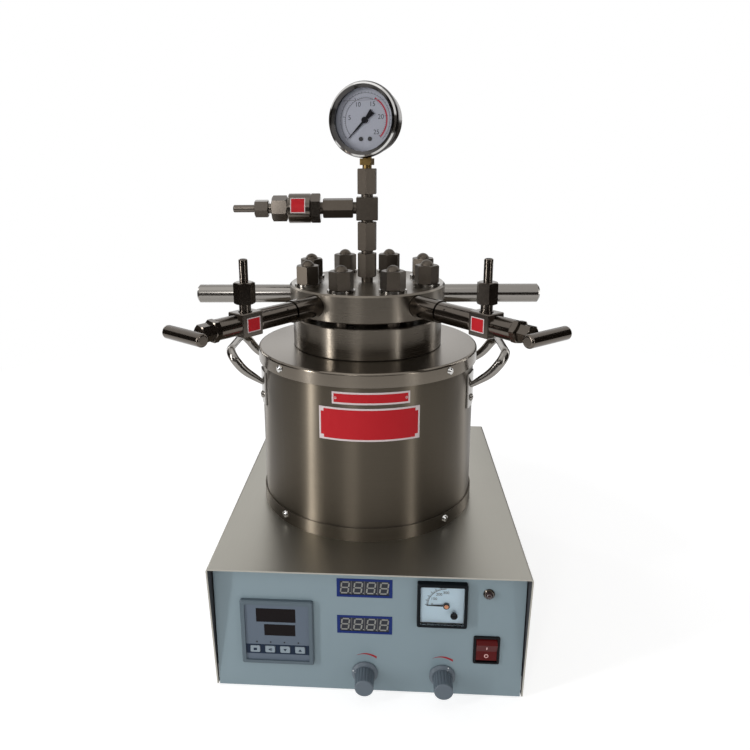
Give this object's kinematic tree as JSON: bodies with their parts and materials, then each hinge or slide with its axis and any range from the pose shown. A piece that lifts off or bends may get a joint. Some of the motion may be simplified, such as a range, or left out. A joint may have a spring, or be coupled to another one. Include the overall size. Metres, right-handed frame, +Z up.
{
  "type": "hydrothermal reactor",
  "caption": "Magnetically stirred pressure vessel with bolted lid, pressure gauge, relief arm and needle valves, hung in a round heating jacket on a control cabinet.",
  "frame": {"origin": "on the bench, straight below the vessel's axis", "axes": "+Z up along the vessel's axis, -Y towards the person at the control panel, +X to that person's right"},
  "size_m": [0.3758, 0.4128, 0.597],
  "materials": {
    "cover_steel": "brushed",
    "panel_paint": "satin",
    "dark_paint": "satin",
    "inner_steel": "satin",
    "jacket_steel": "brushed",
    "cap_steel": "brushed",
    "vessel_steel": "turned",
    "bright_steel": "polished",
    "fitting_steel": "turned",
    "brass": "satin",
    "black_plastic": "matt",
    "grey_plastic": "satin",
    "window_plastic": "gloss",
    "display_plastic": "gloss",
    "key_plastic": "satin",
    "knob_plastic": "satin",
    "red_plastic": "gloss",
    "lens_plastic": "gloss",
    "clear_glass": "clear",
    "dial_white": "matt",
    "pointer_black": "matt",
    "feet_rubber": "matt",
    "fibre": "matt",
    "ceramic": "matt",
    "fluoropolymer": "satin",
    "board_green": "satin",
    "motor_grey": "satin"
  },
  "bodies": {
    "base": {"cover": "cover_steel", "base_tray": "inner_steel", "front_panel": "panel_paint", "back_panel": "cover_steel", "cable_gland": "black_plastic", "feet": "feet_rubber", "sheet_screws": "bright_steel", "controller_case": "grey_plastic", "controller_windows": "window_plastic", "displays": "display_plastic", "voltmeter_case": "black_plastic", "voltmeter_glass": "clear_glass", "pilot_lamp_ring": "bright_steel", "pilot_lamp_lens": "lens_plastic", "rocker_frame": "black_plastic", "potentiometers": "inner_steel", "stir_motor": "motor_grey", "motor_bracket": "inner_steel", "control_board": "board_green", "jacket_shell": "jacket_steel", "jacket_cap": "cap_steel", "base_ring": "jacket_steel", "insulation": "fibre", "heater_tube": "ceramic", "handles": "bright_steel", "handle_rivets": "bright_steel", "vessel": "vessel_steel", "liner": "fluoropolymer", "gasket": "fluoropolymer", "lid": "vessel_steel", "studs": "fitting_steel", "washers": "fitting_steel", "nuts": "fitting_steel", "carry_rods": "fitting_steel", "column_couplings": "fitting_steel", "tee_block": "fitting_steel", "relief_holder": "fitting_steel", "outlet_nuts": "bright_steel", "outlet_tubes": "fitting_steel", "valve_connectors": "fitting_steel", "valve_blocks": "fitting_steel", "gauge_stem": "brass", "gauge_case": "bright_steel", "gauge_bezel": "bright_steel", "gauge_glass": "clear_glass", "gauge_dial": "dial_white"},
    "rocker_body": {"rocker": "red_plastic"},
    "speed_knob_body": {"speed_knob": "knob_plastic"},
    "voltage_knob_body": {"voltage_knob": "knob_plastic"},
    "controller_key_1_body": {"controller_key_1": "key_plastic"},
    "controller_key_2_body": {"controller_key_2": "key_plastic"},
    "controller_key_3_body": {"controller_key_3": "key_plastic"},
    "controller_key_4_body": {"controller_key_4": "key_plastic"},
    "voltmeter_pointer_body": {"voltmeter_pointer": "pointer_black"},
    "voltmeter_adjuster_body": {"voltmeter_adjuster": "black_plastic"},
    "gauge_pointer_body": {"gauge_pointer": "pointer_black"},
    "left_valve_spindle_body": {"left_valve_spindle": "fitting_steel"},
    "right_valve_spindle_body": {"right_valve_spindle": "fitting_steel"},
    "magnet_rotor_body": {"magnet_rotor": "inner_steel"},
    "stir_bar_body": {"stir_bar": "fluoropolymer"}
  },
  "joints": [
    {"name": "rocker_tilt", "type": "hinge", "parent": "base", "child": "rocker_body", "pos_m": [0.122, -0.1555, 0.0547], "axis": [1, 0, 0], "range_deg": [-20, 0]},
    {"name": "speed_knob_turn", "type": "hinge", "parent": "base", "child": "speed_knob_body", "pos_m": [0.0032, -0.1605, 0.0224], "axis": [0, 1, 0], "range_deg": [-75, 225]},
    {"name": "voltage_knob_turn", "type": "hinge", "parent": "base", "child": "voltage_knob_body", "pos_m": [0.08, -0.1605, 0.0224], "axis": [0, 1, 0], "range_deg": [-180, 120]},
    {"name": "key_1_press", "type": "slide", "parent": "base", "child": "controller_key_1_body", "axis": [0, 1, 0], "range_m": [0, 0.0004], "stiffness_N_per_m": 200},
    {"name": "key_2_press", "type": "slide", "parent": "base", "child": "controller_key_2_body", "axis": [0, 1, 0], "range_m": [0, 0.0004], "stiffness_N_per_m": 200},
    {"name": "key_3_press", "type": "slide", "parent": "base", "child": "controller_key_3_body", "axis": [0, 1, 0], "range_m": [0, 0.0004], "stiffness_N_per_m": 200},
    {"name": "key_4_press", "type": "slide", "parent": "base", "child": "controller_key_4_body", "axis": [0, 1, 0], "range_m": [0, 0.0004], "stiffness_N_per_m": 200},
    {"name": "voltmeter_swing", "type": "hinge", "parent": "base", "child": "voltmeter_pointer_body", "pos_m": [0.0817, -0.1605, 0.104], "axis": [0, 1, 0], "range_deg": [0, 90], "stiffness_Nm_per_rad": 0.0002},
    {"name": "voltmeter_zero_turn", "type": "hinge", "parent": "base", "child": "voltmeter_adjuster_body", "pos_m": [0.0889, -0.1605, 0.096], "axis": [0, 1, 0], "range_deg": [-30, 30]},
    {"name": "gauge_swing", "type": "hinge", "parent": "base", "child": "gauge_pointer_body", "pos_m": [-0.00234, -0.00765, 0.5593], "axis": [0.2924, 0.9563, 0], "range_deg": [0, 270], "stiffness_Nm_per_rad": 0.0002},
    {"name": "left_valve_turn", "type": "hinge", "parent": "base", "child": "left_valve_spindle_body", "pos_m": [-0.14276, -0.19293, 0.3772], "axis": [-0.5948, -0.8039, 0], "range_deg": [0, 720]},
    {"name": "right_valve_turn", "type": "hinge", "parent": "base", "child": "right_valve_spindle_body", "pos_m": [0.15104, -0.18651, 0.3772], "axis": [0.6293, -0.7771, 0], "range_deg": [0, 720]},
    {"name": "rotor_spin", "type": "hinge", "parent": "base", "child": "magnet_rotor_body", "pos_m": [0, 0, 0.1095], "axis": [0, 0, 1], "continuous": true},
    {"name": "stir_bar_spin", "type": "hinge", "parent": "base", "child": "stir_bar_body", "pos_m": [0, 0, 0.19775], "axis": [0, 0, 1], "continuous": true}
  ],
  "couplings": [
    {"joint": "stir_bar_spin", "follows": "rotor_spin", "ratio": 1}
  ]
}
